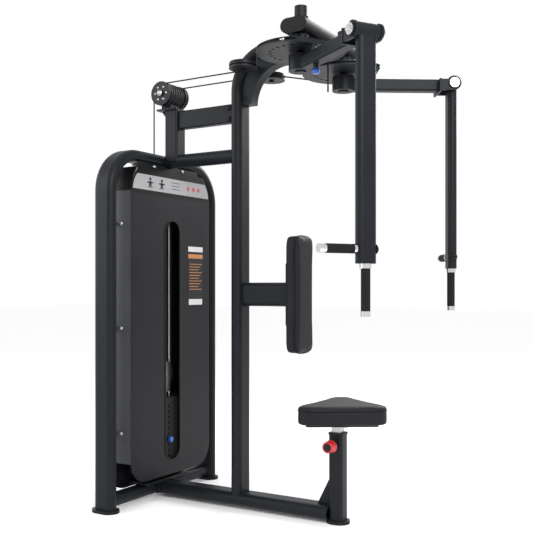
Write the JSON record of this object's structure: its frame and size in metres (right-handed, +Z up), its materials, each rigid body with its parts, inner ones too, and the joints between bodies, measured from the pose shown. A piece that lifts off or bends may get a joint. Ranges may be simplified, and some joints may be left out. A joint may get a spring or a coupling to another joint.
{
  "type": "pec fly and rear delt machine",
  "caption": "Selectorised chest fly and rear shoulder machine: weight tower, curved overhead frame, swinging arms with hanging grips, back pad and height adjustable seat.",
  "frame": {"origin": "on the floor, under the middle of the machine's outline", "axes": "+X from the weight tower to the seat, the way the user faces; +Y the user's left; +Z up"},
  "size_m": [1.3447, 1.1972, 2.017],
  "materials": {
    "frame_paint": "satin powder coat",
    "panel_paint": "satin powder coat",
    "strip_paint": "satin paint",
    "header_paint": "satin paint",
    "sign_face": "printed sheet",
    "trim_black": "moulded",
    "pulley_nylon": "moulded",
    "cable_coat": "coated wire rope",
    "chrome": "polished",
    "zinc": "zinc plated",
    "iron": "painted casting",
    "bronze": "plain bearing",
    "rubber": "matt",
    "upholstery": "grained",
    "board": "painted plywood",
    "knob_blue": "moulded",
    "knob_red": "moulded"
  },
  "bodies": {
    "root": {"tower_bow": "frame_paint", "foot_plates": "frame_paint", "base_cross_tube": "frame_paint", "base_spine": "frame_paint", "column": "frame_paint", "boom_gusset": "frame_paint", "upper_braces": "frame_paint", "pulley_post": "frame_paint", "crossbeam": "frame_paint", "pulley_supports": "frame_paint", "pad_support": "frame_paint", "seat_post": "frame_paint", "rod_mounts": "frame_paint", "cover_spacers": "frame_paint", "front_cover": "panel_paint", "back_cover": "panel_paint", "side_covers": "strip_paint", "header_panel": "header_paint", "instruction_plate": "sign_face", "slot_trim": "trim_black", "beam_caps": "trim_black", "seat_post_collar": "trim_black", "lift_cable_runs": "cable_coat", "upper_cables": "cable_coat", "guide_rods": "chrome", "resting_plates": "iron", "pivot_bushes": "bronze", "rubber_feet": "rubber", "stack_bumpers": "rubber", "back_pad": "upholstery", "back_pad_board": "board"},
    "carriage": {"lifted_plates": "iron", "head_plate": "iron", "selector_stem": "zinc", "lift_cable_loop": "cable_coat"},
    "floating_pulley": {"floating_pulley": "pulley_nylon"},
    "selector_pin": {"selector_pin": "knob_blue"},
    "seat": {"seat_tube": "chrome", "seat_board": "board", "seat_pad": "upholstery"},
    "seat_pin": {"seat_pin": "knob_red"},
    "cam_right": {"cam_right": "frame_paint"},
    "arm_right": {"arm_right": "frame_paint", "hub_pin_right": "chrome"},
    "index_pin_right": {"index_pin_right": "knob_blue"},
    "post_right": {"post_right": "frame_paint", "grips_right": "rubber", "grip_ends_right": "chrome"},
    "top_pulley_right": {"top_pulley_right": "pulley_nylon"},
    "side_pulley_right": {"side_pulley_right": "pulley_nylon"},
    "cam_left": {"cam_left": "frame_paint"},
    "arm_left": {"arm_left": "frame_paint", "hub_pin_left": "chrome"},
    "index_pin_left": {"index_pin_left": "knob_blue"},
    "post_left": {"post_left": "frame_paint", "grips_left": "rubber", "grip_ends_left": "chrome"},
    "top_pulley_left": {"top_pulley_left": "pulley_nylon"},
    "side_pulley_left": {"side_pulley_left": "pulley_nylon"}
  },
  "joints": [
    {"name": "stack_lift", "type": "slide", "parent": "root", "child": "carriage", "axis": [0, 0, 1], "range_m": [0, 0.122], "deforming": ["lift_cable_runs"]},
    {"name": "floating_spin", "type": "hinge", "parent": "carriage", "child": "floating_pulley", "pos_m": [-0.5864, 0, 0.545], "axis": [1, 0, 0], "continuous": true},
    {"name": "selector_pull", "type": "slide", "parent": "carriage", "child": "selector_pin", "axis": [1, 0, 0], "range_m": [0, 0.06]},
    {"name": "seat_height", "type": "slide", "parent": "root", "child": "seat", "axis": [0, 0, 1], "range_m": [0, 0.12]},
    {"name": "seat_pin_pull", "type": "slide", "parent": "root", "child": "seat_pin", "axis": [0, -1, 0], "range_m": [0, 0.012], "stiffness_N_per_m": 800, "springref_m": -0.01},
    {"name": "cam_right_turn", "type": "hinge", "parent": "root", "child": "cam_right", "pos_m": [0.2326, -0.187, 1.846], "axis": [0, 0, 1], "range_deg": [0, 42]},
    {"name": "arm_right_index", "type": "hinge", "parent": "cam_right", "child": "arm_right", "pos_m": [0.2326, -0.187, 1.792], "axis": [0, 0, 1], "range_deg": [-130, 0]},
    {"name": "index_pin_right_pull", "type": "slide", "parent": "arm_right", "child": "index_pin_right", "axis": [0, 0, -1], "range_m": [0, 0.012], "stiffness_N_per_m": 800, "springref_m": -0.01},
    {"name": "post_right_swing", "type": "hinge", "parent": "arm_right", "child": "post_right", "pos_m": [0.61664, -0.43802, 1.795], "axis": [-0.5471, -0.8371, 0], "range_deg": [-15, 25]},
    {"name": "top_pulley_right_spin", "type": "hinge", "parent": "root", "child": "top_pulley_right", "pos_m": [-0.5424, -0.06, 1.802], "axis": [0, 1, 0], "continuous": true},
    {"name": "side_pulley_right_spin", "type": "hinge", "parent": "root", "child": "side_pulley_right", "pos_m": [-0.0774, -0.114, 1.846], "axis": [0, 0, 1], "continuous": true},
    {"name": "cam_left_turn", "type": "hinge", "parent": "root", "child": "cam_left", "pos_m": [0.2326, 0.187, 1.846], "axis": [0, 0, 1], "range_deg": [-42, 0]},
    {"name": "arm_left_index", "type": "hinge", "parent": "cam_left", "child": "arm_left", "pos_m": [0.2326, 0.187, 1.792], "axis": [0, 0, -1], "range_deg": [-130, 0]},
    {"name": "index_pin_left_pull", "type": "slide", "parent": "arm_left", "child": "index_pin_left", "axis": [0, 0, -1], "range_m": [0, 0.012], "stiffness_N_per_m": 800, "springref_m": -0.01},
    {"name": "post_left_swing", "type": "hinge", "parent": "arm_left", "child": "post_left", "pos_m": [0.61664, 0.43802, 1.795], "axis": [0.5471, -0.8371, 0], "range_deg": [-15, 25]},
    {"name": "top_pulley_left_spin", "type": "hinge", "parent": "root", "child": "top_pulley_left", "pos_m": [-0.5424, 0.06, 1.802], "axis": [0, 1, 0], "continuous": true},
    {"name": "side_pulley_left_spin", "type": "hinge", "parent": "root", "child": "side_pulley_left", "pos_m": [-0.0774, 0.114, 1.846], "axis": [0, 0, 1], "continuous": true}
  ],
  "couplings": [
    {"joint": "cam_right_turn", "follows": "stack_lift", "rad_per_m": 5.988},
    {"joint": "top_pulley_right_spin", "follows": "stack_lift", "rad_per_m": 22.727},
    {"joint": "side_pulley_right_spin", "follows": "stack_lift", "rad_per_m": -18.519},
    {"joint": "cam_left_turn", "follows": "stack_lift", "rad_per_m": -5.988},
    {"joint": "top_pulley_left_spin", "follows": "stack_lift", "rad_per_m": 22.727},
    {"joint": "side_pulley_left_spin", "follows": "stack_lift", "rad_per_m": 18.519}
  ]
}
